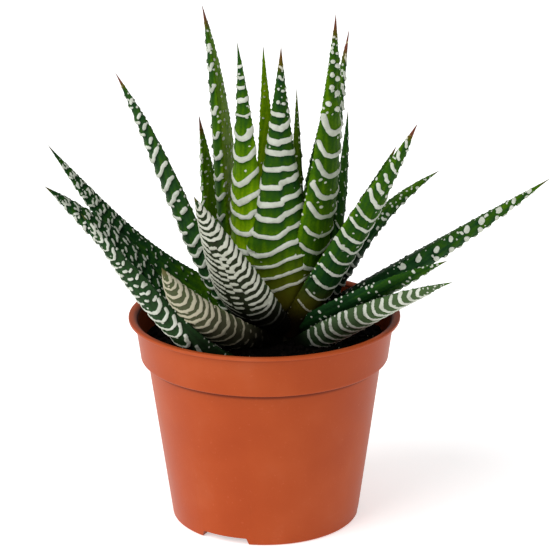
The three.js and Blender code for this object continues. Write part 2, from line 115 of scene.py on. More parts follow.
# One band as strokes. A stroke is a line of points: place across the outer face (-1 to 1), and
# height above the band's own place in shares of the pitch.
PATTERNS = {
    "bowl": [[(-1.05, 0.3), (-0.62, 0), (-0.2, -0.2), (0.3, -0.22), (0.68, 0.05), (1.05, 0.38)]],
    "vbowl": [[(-1.05, 0.4), (-0.55, -0.02), (-0.15, -0.34), (0.12, -0.34), (0.5, -0.02), (1.05, 0.42)]],
    "scoop": [[
        (-1.05, 0.35), (-0.72, 0.28), (-0.35, -0.02), (0, -0.16), (0.45, -0.12), (0.62, 0.22), (1.05, 0.4),
    ]],
    "bar": [[(-0.95, 0.04), (-0.5, -0.04), (0, 0.02), (0.5, -0.06), (0.95, 0.08)]],
    "shortbar": [[(-0.75, 0.04), (0, -0.04), (0.72, 0.02)]],
    "rightbar": [[(-0.05, -0.08), (0.45, 0), (0.9, 0.12)], [(-0.85, 0.12), (-0.8, 0.08)]],
    "leftbar": [[(-0.9, 0.12), (-0.4, 0), (0.2, -0.1)], [(0.72, 0.25), (0.8, 0.22)]],
    "vee": [[(-0.98, 0.14), (-0.5, 0), (-0.02, -0.2), (0.3, 0), (0.72, 0.4), (1, 0.5)]],
    "halves": [[(-0.98, 0.22), (-0.75, -0.02), (-0.16, -0.14)], [(0.04, -0.06), (0.5, 0), (0.92, 0.3)]],
    "broken": [[(-0.95, 0.1), (-0.86, -0.02), (-0.08, -0.04)], [(0.08, 0.04), (0.5, 0), (0.92, 0.12)]],
    "step": [
        [(-1.05, 0.4), (-0.96, 0.12), (-0.84, -0.2), (-0.45, -0.22), (-0.04, -0.16)],
        [(0.02, 0.08), (0.24, 0.2), (0.5, 0.24), (0.76, 0.44), (1, 0.5)],
    ],
    "wave": [[
        (-1.05, 0.25), (-0.93, 0.1), (-0.78, -0.06), (-0.58, -0.2), (-0.14, -0.24), (0.02, -0.02),
        (0.2, 0.3), (0.46, 0.42), (0.72, 0.66), (0.86, 0.5), (0.96, 0.1),
    ]],
    "climb": [[
        (-1.05, 0), (-0.78, -0.34), (-0.36, -0.28), (-0.12, 0.08), (0.1, 0.32), (0.4, 0.48), (0.72, 0.8),
        (1.05, 0.9),
    ]],
    "rise": [[
        (-1, -0.3), (-0.6, -0.2), (-0.3, -0.05), (-0.1, 0.14), (0.2, 0.45), (0.5, 0.56), (0.76, 0.76),
        (1, 1.15),
    ]],
    "trail": [[(-0.3, 0.16), (-0.22, 0.12)], [(0.12, -0.02), (0.26, -0.04)], [(0.7, 0.2), (0.72, 0.2)]],
    "hook": [[
        (-0.82, 0.62), (-0.66, 0.26), (-0.42, -0.06), (-0.1, -0.16), (0.3, -0.16), (0.75, -0.05),
        (1.05, 0.2),
    ]],
    "hooklow": [[(-0.85, 0.5), (-0.6, 0.12), (-0.2, -0.14), (0.25, -0.1), (0.7, 0.06), (1.05, 0.3)]],
    "ovals": [[(-0.06, 0), (0.16, -0.03)], [(-0.62, 0.4), (-0.58, 0.34)], [(0.72, 0.3), (0.74, 0.26)]],
    "oval": [[(-0.08, 0), (0.2, -0.02)], [(-0.72, 0.25), (-0.7, 0.22)]],
    "blob": [[(-0.14, 0.04), (0.16, -0.06)]],
    "rim": [
        [(0.62, 0.02), (0.7, -0.12), (0.86, -0.14), (0.97, 0.1)], [(0.2, 0.3), (0.24, 0.3)],
        [(-0.55, 0.1), (-0.3, -0.05), (-0.1, 0.05)],
    ],
    "crook": [[
        (-1, 0.85), (-0.8, 0.5), (-0.62, 0.1), (-0.4, -0.02), (-0.2, -0.3), (0.08, -0.26), (0.28, -0.3),
        (0.46, 0.08), (0.66, 0.16), (0.84, 0.62), (1.05, 0.9),
    ]],
    "kink": [[
        (-1, 0.7), (-0.7, 0.36), (-0.5, -0.06), (-0.22, -0.08), (0.02, -0.3), (0.3, -0.16), (0.5, -0.2),
        (0.68, 0.22), (0.85, 0.4), (1.05, 0.85),
    ]],
    "shards": [
        [(-0.7, 0.3), (-0.45, 0)], [(-0.2, -0.2), (0.06, -0.26)], [(0.3, -0.12), (0.5, 0.1)],
        [(0.72, 0.4), (0.8, 0.6)],
    ],
    "ivee": [[
        (-0.95, 0.62), (-0.7, 0.3), (-0.42, 0.1), (-0.2, -0.12), (0.05, -0.16), (0.3, 0.04), (0.6, 0.3),
        (1, 0.7),
    ]],
    "ilow": [[(-0.9, 0.5), (-0.65, 0.22), (-0.35, -0.02), (0, -0.12), (0.3, 0.02), (0.75, 0.4)]],
    "iblob": [
        [(-0.76, 0.42), (-0.6, 0.1), (-0.42, -0.02)], [(-0.06, -0.3), (0.04, -0.34)],
        [(0.6, 0), (0.8, 0.3)],
    ],
    "sarcs": [
        [(-1.05, 1.1), (-0.8, 0.5), (-0.4, -0.1), (-0.06, -0.55)],
        [(0.06, -0.7), (0.42, -0.35), (0.74, 0.3), (1, 1.2)],
    ],
    "scolumns": [
        [(-1.05, 0.9), (-0.82, 0.4), (-0.58, 0.1), (-0.3, -0.4)], [(-0.12, -0.8), (0.1, -0.6)],
        [(0.3, -0.85), (0.45, -0.5), (0.64, -0.4), (0.8, 0.1), (0.97, 0.5)],
    ],
    "spebbles": [
        [(-1.05, 0.8), (-0.8, 0.36), (-0.5, 0), (-0.24, -0.4)], [(-0.08, -0.62), (0.08, -0.68)],
        [(0.16, -0.16), (0.32, -0.26)],
        [(0.42, -0.75), (0.56, -0.4), (0.74, -0.26), (0.86, 0.24), (1, 0.6)],
    ],
    "sbowl": [[
        (-1.05, 0.8), (-0.78, 0.36), (-0.4, -0.12), (0.08, -0.36), (0.45, -0.12), (0.78, 0.36), (1.05, 0.8),
    ]],
    "comma": [[
        (-1, 0.4), (-0.6, -0.02), (-0.2, 0), (0.12, -0.14), (0.48, -0.16), (0.66, 0.12), (0.8, 0.5),
        (0.98, 0.62),
    ]],
    "tick": [[(-0.8, 0.2), (-0.4, 0)], [(0, 0.02), (0.22, -0.1), (0.5, -0.06)], [(0.66, 0.3), (0.84, 0.5)]],
    "sweep": [[(-1, 0.3), (-0.5, 0), (-0.1, -0.2), (0.25, -0.12), (0.5, 0.2), (0.72, 0.6), (0.86, 0.72)]],
    "rscoop": [[
        (-1, 0.7), (-0.7, 0.2), (-0.3, 0.08), (0.1, -0.04), (0.4, -0.18), (0.58, 0.06), (0.76, 0.4),
        (0.84, 0.9),
    ]],
    "rlow": [[(-0.9, 0.3), (-0.4, 0), (0, -0.1), (0.34, -0.2), (0.5, 0), (0.58, 0.4), (0.64, 0.62)]],
    "marks": [
        [(-0.86, 0.1), (-0.6, -0.1)], [(-0.4, 0.35), (-0.28, 0.2), (-0.22, -0.1)],
        [(0.02, 0), (0.26, -0.14)], [(0.44, 0.3), (0.52, 0.1)], [(0.7, -0.1), (0.92, 0.14)],
    ],
    "flecks": [
        [(-0.7, 0.1), (-0.62, -0.06)], [(-0.2, 0.3), (-0.16, 0.2)], [(0.22, -0.05), (0.3, -0.2)],
        [(0.66, 0.25), (0.78, 0.2)],
    ],
    "rmarks": [
        [(-0.5, 0.1), (-0.1, 0), (0.16, -0.1)], [(0.42, 0.3), (0.5, 0.22)], [(0.72, 0), (0.8, 0.14)],
    ],
    "mbowl": [[
        (1.05, 0.9), (0.6, 0.75), (0.3, 0.6), (0.12, 0.34), (-0.08, 0), (-0.34, -0.16), (-0.66, -0.04),
        (-0.92, 0.3),
    ]],
    "lband": [[(1, 0.5), (0.6, 0.1), (0.15, -0.1)]],
    "lblob": [[(0.75, 0.3), (0.3, 0)]],
    "kblob": [
        [(-0.34, -0.02), (-0.5, 0.04)], [(0.02, 0.4), (-0.06, 0.44)], [(-0.86, 0.3), (-0.9, 0.4)],
        [(0.5, 0.1), (0.62, 0.3)],
    ],
    "kdots": [[(-0.3, 0), (-0.34, 0)], [(-0.7, 0.4), (-0.74, 0.42)], [(0.4, 0.3), (0.44, 0.3)]],
    "jhook": [[(-0.95, 0.4), (-0.7, 0), (-0.4, -0.1), (0.1, 0), (0.6, 0.4)]],
    "dots": [[(-0.6, 0.3), (-0.54, 0.26)], [(0, -0.1), (0.05, -0.06)], [(0.55, 0.16), (0.62, 0.2)]],
}

# How each leaf looks. zones and inner_zones: the bands of the outer and inner face, as the share of
# the length where they begin, then from foot to tip (up to this share, number of bands, pattern,
# half the width of a stroke in mm). outer and inner: the green of each face at foot, middle and tip
# (0 near black, 0.2 blackish green, 0.4 blue-green, 0.6 green, 0.8 yellow-green). warm: at foot,
# middle and tip (below 0 sage, 0.5 olive, 1 brown), then the share of the length that the warm tip
# takes. The dark foot, painted shade deep in the rosette with some soil dirt: how dark it is, and
# the share of the length by which that is gone. spots: their density on the outer and inner face,
# then their least and greatest radius. cream: how far bands and skin turn cream. slim: how much
# slimmer the upper half is than in the CAD.
PLAIN = dict(
    zones=[0.06, (0.72, 8, "bowl", 0.7), (0.9, 3, "blob", 0.6)], inner_zones=[0], outer=(0.25, 0.42, 0.5),
    inner=(0.6, 0.66, 0.6), warm=(0, 0, 0.75, 0.07), foot_shade_and_soil=(0.7, 0.2), spots=(0.2, 0.5, 0.22, 0.42),
    cream=0, slim=0,
)
LOOKS = {
    1: dict(
        zones=[0.3, (0.9, 6, "dots", 0.3)], outer=(0.76, 0.84, 0.78), inner=(0.86, 0.92, 0.82),
        warm=(0, 0, 0.5, 0.05), spots=(0.35, 0.3, 0.22, 0.4),
    ),
    2: dict(
        zones=[0.4, (0.9, 5, "dots", 0.35)], outer=(0.5, 0.52, 0.56), inner=(0.6, 0.62, 0.6),
        warm=(0, 0.2, 0.3, 0.1), spots=(0.5, 0.8, 0.25, 0.42),
    ),
    3: dict(
        zones=[
            0.11, (0.25, 3, "rise", 0.62), (0.31, 1, "climb", 0.84), (0.43, 2, "wave", 0.88),
            (0.545, 2, "step", 0.92), (0.65, 2, "broken", 0.9), (0.693, 1, "halves", 0.88),
            (0.738, 1, "vee", 0.86), (0.78, 1, "leftbar", 0.75), (0.945, 4, "trail", 0.56),
        ],
        outer=(0.76, 0.52, 0.46), inner=(0.8, 0.8, 0.7), warm=(0.62, 0.08, 0.75, 0.11), foot_shade_and_soil=(0.9, 0.1),
        spots=(0.2, 0.6, 0.2, 0.34), slim=0.1,
    ),
    4: dict(
        zones=[
            0.06, (0.42, 6, "scoop", 0.84), (0.56, 2, "vbowl", 0.92), (0.64, 1, "bowl", 0.96),
            (0.715, 1, "bowl", 0.96), (0.77, 1, "bar", 0.45), (0.82, 1, "rightbar", 0.85),
            (0.93, 3, "shortbar", 0.66),
        ],
        outer=(0.86, 0.8, 0.42), inner=(0.85, 0.8, 0.7), warm=(0, 0, 0.3, 0.05),
        spots=(0.25, 0.5, 0.22, 0.4),
    ),
    5: dict(
        zones=[
            0.1, (0.33, 4, "hooklow", 0.66), (0.6, 4, "hook", 0.85), (0.675, 1, "hook", 0.9),
            (0.725, 1, "ovals", 0.9), (0.78, 1, "ovals", 0.92), (0.86, 2, "ovals", 0.82),
            (0.935, 3, "oval", 0.5),
        ],
        outer=(0.62, 0.64, 0.6), inner=(0.75, 0.8, 0.7), warm=(0, 0.06, 0.9, 0.1),
        spots=(0.4, 0.6, 0.3, 0.5),
    ),
    6: dict(
        zones=[0.1, (0.9, 12, "rim", 0.6)], outer=(0.64, 0.58, 0.56), inner=(1, 0.92, 0.72),
        warm=(0, 0, 0.9, 0.1), spots=(0.3, 1.6, 0.34, 0.56),
    ),
    7: dict(
        zones=[0.3, (0.9, 12, "jhook", 0.5)], outer=(0.4, 0.42, 0.5), inner=(0.72, 0.7, 0.6),
        warm=(0, 0.1, 1, 0.14), spots=(0.4, 2.4, 0.42, 0.68),
    ),
    8: dict(inner=(0.6, 0.6, 0.55), spots=(0.4, 1, 0.3, 0.5)),
    9: dict(
        zones=[0.1, (0.92, 12, "rim", 0.42)], outer=(0.55, 0.6, 0.66), inner=(0.7, 0.76, 0.74),
        warm=(0, 0, 0.9, 0.12), spots=(0.4, 1.3, 0.22, 0.42),
    ),
    10: dict(
        zones=[0.06, (0.5, 7, "jhook", 0.36), (0.9, 6, "flecks", 0.22)], outer=(0.2, 0.46, 0.52),
        inner=(0.36, 0.5, 0.52), warm=(0, 0, 0.4, 0.06), spots=(0.3, 0.5, 0.2, 0.36),
    ),
    11: dict(
        zones=[
            0.12, (0.24, 2, "ilow", 0.42), (0.42, 3, "ilow", 0.56), (0.62, 4, "ivee", 0.62),
            (0.69, 1, "ivee", 0.7), (0.93, 5, "iblob", 0.62),
        ],
        outer=(0.26, 0.48, 0.6), inner=(0.5, 0.75, 0.7), warm=(0.9, 0, 1, 0.09), foot_shade_and_soil=(0.85, 0.24),
        spots=(0.45, 0.7, 0.22, 0.4),
    ),
    12: dict(
        zones=[
            0.02, (0.15, 4, "sarcs", 0.28), (0.3, 3, "sarcs", 0.46), (0.42, 3, "scolumns", 0.64),
            (0.66, 6, "spebbles", 0.7), (0.74, 2, "scolumns", 0.7), (0.95, 6, "sbowl", 0.7),
        ],
        outer=(0.06, 0.1, 0.3), inner=(0.6, 0.6, 0.5), warm=(0, -0.2, 0.5, 0.05), foot_shade_and_soil=(0.97, 0.42),
        spots=(0, 0.6, 0.16, 0.3), cream=0.2,
    ),
    13: dict(
        zones=[
            0.06, (0.22, 4, "tick", 0.5), (0.42, 5, "comma", 0.62), (0.52, 2, "tick", 0.66),
            (0.72, 4, "sweep", 0.74), (0.9, 4, "tick", 0.68), (0.96, 2, "blob", 0.5),
        ],
        outer=(0.26, 0.42, 0.42), inner=(0.6, 0.6, 0.5), warm=(0, -0.2, 0.9, 0.08), foot_shade_and_soil=(0.8, 0.16),
        spots=(0.5, 0.9, 0.28, 0.46),
    ),
    14: dict(
        zones=[0.06, (0.5, 9, "jhook", 0.42), (0.95, 7, "kdots", 0.5)], outer=(0.1, 0.3, 0.66),
        inner=(0.3, 0.55, 0.68), warm=(0, 0, 0.4, 0.05), foot_shade_and_soil=(0.85, 0.4), spots=(0.6, 1.2, 0.3, 0.5),
    ),
    20: dict(
        zones=[0.1, (0.9, 12, "tick", 0.5)],
        inner_zones=[0.2, (0.6, 9, "flecks", 0.36), (0.92, 8, "marks", 0.4)], outer=(0.3, 0.36, 0.42),
        inner=(0.84, 0.42, 0.42), warm=(0, 0, 0.5, 0.04), foot_shade_and_soil=(0.5, 0.1), spots=(0.6, 1.2, 0.2, 0.34),
    ),
    21: dict(
        zones=[0.1, (0.55, 6, "sweep", 0.6), (0.95, 8, "tick", 0.62)],
        inner_zones=[0.12, (0.92, 18, "marks", 0.5)], outer=(0.2, 0.36, 0.42), inner=(0.4, 0.36, 0.42),
        warm=(0, 0, 0.5, 0.04), spots=(0.6, 0.8, 0.24, 0.4),
    ),
    22: dict(
        zones=[0.1, (0.4, 6, "kdots", 0.36), (0.93, 9, "kblob", 0.82)], outer=(0.08, 0.36, 0.62),
        inner=(0.1, 0.42, 0.66), warm=(0, 0, 0.45, 0.06), foot_shade_and_soil=(0.9, 0.34), spots=(0.5, 1.6, 0.26, 0.46),
    ),
    23: dict(
        zones=[
            0.06, (0.28, 4, "shards", 0.42), (0.42, 2, "kink", 0.52), (0.6, 3, "crook", 0.68),
            (0.7, 2, "kink", 0.74), (0.86, 3, "crook", 0.74), (0.95, 2, "kink", 0.6),
        ],
        outer=(0, 0.2, 0.5), warm=(0, -0.2, 0.5, 0.08), foot_shade_and_soil=(0.98, 0.42), spots=(0.5, 0.6, 0.2, 0.36),
        cream=0.8,
    ),
    24: dict(
        zones=[
            0.05, (0.44, 6, "rlow", 0.62), (0.6, 4, "rscoop", 0.56), (0.8, 6, "rmarks", 0.58),
            (0.94, 4, "rscoop", 0.5),
        ],
        outer=(0.06, 0.3, 0.38), inner=(0.3, 0.4, 0.4), warm=(0, -0.3, 0.3, 0.05), foot_shade_and_soil=(0.95, 0.34),
        spots=(0.7, 1, 0.26, 0.46),
    ),
    25: dict(
        zones=[0.16, (0.3, 3, "mbowl", 0.56), (0.84, 11, "mbowl", 0.64), (0.95, 3, "kdots", 0.4)],
        outer=(0.2, 0.44, 0.64), inner=(0.5, 0.5, 0.5), warm=(0, -0.7, 0.3, 0.06), foot_shade_and_soil=(0.95, 0.3),
        spots=(0.6, 0.9, 0.22, 0.36),
    ),
    26: dict(
        zones=[0.3, (0.66, 5, "lband", 0.7), (0.88, 4, "lblob", 0.76), (0.95, 2, "dots", 0.4)],
        outer=(0.3, 0.36, 0.62), inner=(0.5, 0.4, 0.6), warm=(0, 0, 0.4, 0.06), foot_shade_and_soil=(0.85, 0.2),
        spots=(1.8, 1.8, 0.26, 0.44),
    ),
}

# ---------- small helpers


def linear(red, green, blue):
    """An sRGB colour, 0 to 255, as the linear RGBA that a shader takes."""
    values = [c / 255 for c in (red, green, blue)]
    return [c / 12.92 if c <= 0.04045 else ((c + 0.055) / 1.055) ** 2.4 for c in values] + [1.0]


def new_mesh(name, points, faces, smooth=True):
    """A mesh object from points in millimetres."""
    mesh = bpy.data.meshes.new(name)
    mesh.from_pydata((np.asarray(points) * MM).tolist(), [], faces)
    mesh.validate()
    if smooth:
        mesh.shade_smooth()
    piece = bpy.data.objects.new(name, mesh)
    bpy.context.scene.collection.objects.link(piece)
    return piece


def add_attribute(piece, name, values):
    layer = piece.data.attributes.new(name, "FLOAT", "POINT")
    layer.data.foreach_set("value", np.asarray(values, np.float32).ravel())


def smoothstep(low, high, x):
    t = np.clip((x - low) / (high - low), 0, 1)
    return t * t * (3 - 2 * t)


def ring_faces(rings, sides):
    """Quads between closed rings, and fans at both ends around the two points after the rings."""
    around = [(side, (side + 1) % sides) for side in range(sides)]
    foot, top = rings * sides, rings * sides + 1
    faces = []
    for low in range(0, foot - sides, sides):
        faces += [(low + a, low + b, low + sides + b, low + sides + a) for a, b in around]
    last = foot - sides
    faces += [(foot, b, a) for a, b in around]
    faces += [(last + a, last + b, top) for a, b in around]
    return faces


class Shader:
    """A node material, with short calls for the nodes that these materials use."""

    def __init__(self, name, **settings):
        self.material = bpy.data.materials.new(name)
        self.material.use_nodes = True
        self.tree = self.material.node_tree
        self.tree.nodes.clear()
        self.output = self.tree.nodes.new("ShaderNodeOutputMaterial")
        self.surface = self.tree.nodes.new("ShaderNodeBsdfPrincipled")
        self.tree.links.new(self.surface.outputs[0], self.output.inputs["Surface"])
        for socket, value in settings.items():
            self.surface.inputs[socket.replace("_", " ")].default_value = value

    def node(self, kind, inputs=None, **properties):
        made = self.tree.nodes.new(kind)
        for key, value in properties.items():
            setattr(made, key, value)
        for key, value in (inputs or {}).items():
            if isinstance(value, bpy.types.NodeSocket):
                self.tree.links.new(value, made.inputs[key])
            else:
                made.inputs[key].default_value = value
        return made

    def attribute(self, name):
        return self.node("ShaderNodeAttribute", attribute_name=name).outputs["Fac"]

    def place(self, stretch=(1, 1, 1)):
        spot = self.node("ShaderNodeTexCoord").outputs["Object"]
        return self.node("ShaderNodeMapping", {"Vector": spot, "Scale": stretch}).outputs[0]

    def noise(self, scale, detail=3.0, stretch=(1, 1, 1), roughness=0.55):
        inputs = {"Vector": self.place(stretch), "Scale": scale, "Detail": detail, "Roughness": roughness}
        return self.node("ShaderNodeTexNoise", inputs).outputs["Fac"]

    def math(self, operation, first, second=0.0, third=0.0):
        inputs = {0: first, 1: second, 2: third}
        return self.node("ShaderNodeMath", inputs, operation=operation).outputs[0]

    def span(self, value, low, high, to_low=0.0, to_high=1.0):
        inputs = {"Value": value, "From Min": low, "From Max": high, "To Min": to_low, "To Max": to_high}
        return self.node("ShaderNodeMapRange", inputs, interpolation_type="SMOOTHSTEP").outputs[0]

    def ramp(self, value, stops):
        made = self.node("ShaderNodeValToRGB", {"Fac": value})
        elements = made.color_ramp.elements
        while len(elements) < len(stops):
            elements.new(0.5)
        for element, (place, _) in zip(elements, stops):
            element.position = place
        for element, (_, colour) in zip(elements, stops):
            element.color = linear(*colour)
        return made.outputs["Color"]

    def mix(self, share, first, second):
        inputs = {0: share, 6: first, 7: second}
        return self.node("ShaderNodeMix", inputs, data_type="RGBA").outputs[2]

    def bump(self, height, distance, strength):
        inputs = {"Height": height, "Distance": distance, "Strength": strength}
        return self.node("ShaderNodeBump", inputs).outputs[0]

    def set(self, socket, value):
        self.tree.links.new(value, self.surface.inputs[socket])


# ---------- materials


def leaf_material():
    shader = Shader("leaf_skin", Specular_IOR_Level=0.02)
    mottle = shader.noise(260, 4)
    cloud = shader.noise(55, 2)
    grain = shader.noise(1400, 2)
    tone = shader.math("MULTIPLY_ADD", mottle, 0.26, shader.attribute("tone"))
    tone = shader.math("MULTIPLY_ADD", cloud, 0.18, tone)
    tone = shader.math("MULTIPLY_ADD", grain, 0.16, tone)
    tone = shader.math("SUBTRACT", tone, 0.3)
    green = shader.ramp(tone, [
        (0.0, (5, 10, 5)), (0.2, (11, 32, 14)), (0.4, (24, 60, 26)),
        (0.6, (46, 84, 10)), (0.8, (84, 122, 2)), (1.0, (126, 154, 8)),
    ])
    warm = shader.math("MULTIPLY_ADD", mottle, 0.2, shader.attribute("warm"))
    warm = shader.math("SUBTRACT", warm, 0.1)
    dull = shader.mix(shader.span(warm, -0.05, -1.0), green, linear(74, 94, 62))
    olive = shader.mix(shader.span(warm, 0.05, 0.5), dull, linear(80, 76, 14))
    skin = shader.mix(shader.span(warm, 0.5, 0.95), olive, linear(106, 58, 42))
    cream = shader.attribute("cream")
    skin = shader.mix(shader.math("MULTIPLY", cream, 0.6), skin, linear(104, 100, 76))
    edge = shader.math("MULTIPLY_ADD", grain, 0.18, shader.attribute("band"))
    edge = shader.math("SUBTRACT", edge, 0.09)
    white = shader.span(edge, -0.05, 0.1)
    chalk = shader.ramp(mottle, [(0.3, (174, 179, 164)), (0.55, (198, 202, 189)), (0.8, (214, 218, 206))])
    chalk = shader.mix(shader.span(shader.attribute("warm"), 0.15, 0.8), chalk, linear(190, 178, 146))
    chalk = shader.mix(cream, chalk, linear(178, 170, 142))
    colour = shader.mix(white, skin, chalk)
    # Painted shade: the foot of each leaf darkens toward near black, as deep in the rosette, with some soil
    # dirt.
    foot_shade_and_soil = shader.math("MULTIPLY_ADD", cloud, 0.3, shader.attribute("foot_shade_and_soil"))
    foot_shade_and_soil = shader.span(shader.math("SUBTRACT", foot_shade_and_soil, 0.15), 0.05, 1.0)
    shader.set("Base Color", shader.mix(foot_shade_and_soil, colour, linear(10, 8, 5)))
    shader.set("Roughness", shader.span(white, 0, 1, 0.5, 0.7))
    pores = shader.noise(2600, 2)
    shader.set("Normal", shader.bump(pores, 0.00014, 0.6))
    return shader.material


def pot_material():
    shader = Shader("terracotta_plastic")
    cloud = shader.noise(28, 3)
    speck = shader.noise(900, 3)
    clay = shader.ramp(cloud, [(0.3, (161, 65, 25)), (0.5, (168, 71, 29)), (0.7, (175, 78, 36))])
    clay = shader.mix(shader.span(speck, 0.62, 0.74, 0, 0.3), clay, linear(188, 92, 56))
    dust_and_shade = shader.mix(shader.span(shader.noise(60, 4), 0.55, 0.8, 0, 0.1), clay, linear(186, 112, 82))
    height = shader.node("ShaderNodeSeparateXYZ", {"Vector": shader.place()}).outputs["Z"]

    def painted_shade_strip(top, below, near, above, depth):
        """Painted shade: a strip that darkens up to an edge of the profile, under its overhang, and ends
        just above it.
        """
        dark = shader.span(height, (top - below) * MM, (top - near) * MM, 0, depth)
        return shader.math("MULTIPLY", dark, shader.span(height, top * MM, (top + above) * MM, 1, 0))

    # Painted shade in the corner under the collar and, fainter, under the lip.
    shade_under_collar = painted_shade_strip(COLLAR_FOOT_Z, 2.0, 0.8, 0.3, 0.75)
    shade_under_lip = painted_shade_strip(LIP_FOOT_Z, 1.4, 0.4, 0.2, 0.3)
    dust_and_shade = shader.mix(shader.math("MAXIMUM", shade_under_collar, shade_under_lip), dust_and_shade, linear(82, 26, 12))
    # Painted shade: inside the pot, the walls and floor take a near-black red.
    inner_shade = shader.ramp(cloud, [(0.3, (14, 2, 2)), (0.6, (30, 4, 4)), (0.8, (50, 12, 9))])
    shader.set("Base Color", shader.mix(shader.attribute("inside"), dust_and_shade, inner_shade))
    shader.set("Roughness", shader.span(cloud, 0.3, 0.7, 0.38, 0.46))
    shader.set("Specular IOR Level", shader.span(shader.attribute("inside"), 0, 1, 0.12, 0.01))
    shader.set("Normal", shader.bump(shader.noise(1800, 2), 0.00006, 0.5))
    return shader.material


def soil_material():
    shader = Shader("potting_mix", Specular_IOR_Level=0.05)
    crumb = shader.noise(700, 5, roughness=0.7)
    dark = shader.ramp(crumb, [(0.3, (2, 2, 2)), (0.5, (9, 6, 5)), (0.7, (26, 18, 14))])
    pale = shader.ramp(crumb, [(0.3, (120, 110, 92)), (0.7, (190, 182, 164))])
    shader.set("Base Color", shader.mix(shader.attribute("pale"), dark, pale))
    shader.set("Roughness", shader.span(crumb, 0.3, 0.7, 0.8, 0.98))
    shader.set("Normal", shader.bump(crumb, 0.0006, 0.8))
    return shader.material


def stem_material():
    shader = Shader("stem_tissue", Specular_IOR_Level=0.3)
    fibre = shader.noise(240, 4, stretch=(1, 1, 0.25))
    brown = shader.ramp(fibre, [(0.3, (34, 30, 14)), (0.55, (58, 52, 26)), (0.75, (84, 74, 42))])
    shader.set("Base Color", brown)
    shader.set("Roughness", shader.span(fibre, 0.3, 0.7, 0.6, 0.8))
    shader.set("Normal", shader.bump(fibre, 0.0006, 0.6))
    return shader.material


def floor_material():
    white = linear(255, 255, 255)
    shader = Shader(
        "studio_floor", Specular_IOR_Level=0.05, Emission_Color=white, Emission_Strength=FLOOR_GLOW,
    )
    cloud = shader.noise(3, 2)
    shader.set("Base Color", shader.ramp(cloud, [(0.3, (250, 250, 250)), (0.7, (253, 253, 253))]))
    shader.set("Roughness", shader.span(cloud, 0.3, 0.7, 0.9, 0.95))
    return shader.material


# ---------- leaves

LEAF_SEED = 1000
LINE_POINTS = 600
OUTER_SIDES = 44
INNER_SIDES = 22
RING_SPACING = 0.42
SHORT_OF_TIP = 0.0005  # the share of the length that the rings leave free
RIDGE_HEIGHT = 0.46
RIDGE_SPREAD = 1.12    # how much wider a ridge is than the white on it
AROUND_STROKE = 1.2    # how far around a stroke the skin takes note of it
STEP_HEIGHT = 0.3      # how far a band's lower edge stands proud of the skin below it
STEP_LENGTH = 1.7      # over which length that dies out above the band
FULL_STROKE = 0.6      # half the width from which a stroke has the whole ridge height
BAND_SLACK = 0.07      # how far a band is lifted or leans, in shares of the pitch
SIDE_SLACK = 0.04      # how far a stroke is shifted, in shares of half the face
WANDER = 0.12          # how far a stroke strays from its line, as a standard deviation
UNEVEN = 0.16          # how far its width strays, as a share of it
SPOT_HEIGHT = 0.34
FULL_SPOT = 0.35       # the radius from which a spot has that height
SPOT_ROOM = 8          # square mm of a face for one spot, at a density of 1
FACE_SHARE = 0.6       # of the length times the width
LEAST_SPOT_GAP = 1.0
TOOTH_HEIGHT = 0.44
TOOTH_RADII = (0.26, 0.44)
TOOTH_SPACING = (1.3, 2.8)
WHITE_TEETH = 0.34
GRAIN_HEIGHT = 0.035
GRAIN_LENGTHS = (3.4, 2.1, 1.3)
LEAST_HALF = 0.02      # of the width and the depth, at the very tip
FAR = 99.0             # stands for a band that never comes
LOOSE_SKIN = 1.3       # the skin may stand this far from the CAD's leaf before it is drawn back


def eased(stroke):
    """A stroke with its corners cut once."""
    line = np.array(stroke, float)
    first = 0.75 * line[:-1] + 0.25 * line[1:]
    second = 0.25 * line[:-1] + 0.75 * line[1:]
    middle = np.stack([first, second], 1).reshape(-1, 2)
    return np.concatenate([line[:1], middle[1:-1], line[-1:]])


def distance_walked(marked, spacing):
    """How far each ring lies past the last ring that is marked at the same side."""
    walked = np.where(marked, 0.0, FAR)
    for ring in range(1, len(marked)):
        walked[ring] = np.where(marked[ring], 0, walked[ring - 1] + spacing)
    return walked


